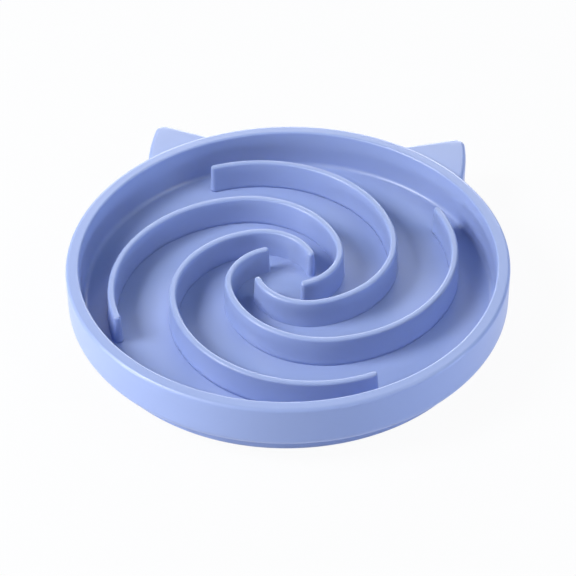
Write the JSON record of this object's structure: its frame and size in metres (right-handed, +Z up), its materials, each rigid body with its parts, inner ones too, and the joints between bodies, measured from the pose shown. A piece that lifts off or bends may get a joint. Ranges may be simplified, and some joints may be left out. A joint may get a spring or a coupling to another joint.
{
  "type": "slow feeder bowl",
  "caption": "Round shallow pet bowl with spiral walls on its floor that slow eating, two ear tabs behind the rim, and a soft grip ring in a recessed foot.",
  "frame": {"origin": "on the bowl's axis, at the height of the table that it stands on", "axes": "+Z up along the bowl's axis, +Y towards the back where the ears are, +X to the right"},
  "size_m": [0.2, 0.2064, 0.0305],
  "materials": {
    "moulding": "satin moulded, periwinkle blue",
    "grip": "matt, dark blue grey"
  },
  "bodies": {
    "root": {"bowl_floor": "moulding", "rim_wall": "moulding", "foot_ring": "moulding", "grip_ring": "grip", "spiral_wall_back": "moulding", "spiral_wall_left": "moulding", "spiral_wall_front": "moulding", "spiral_wall_right": "moulding", "ear_left": "moulding", "ear_right": "moulding"}
  },
  "joints": []
}
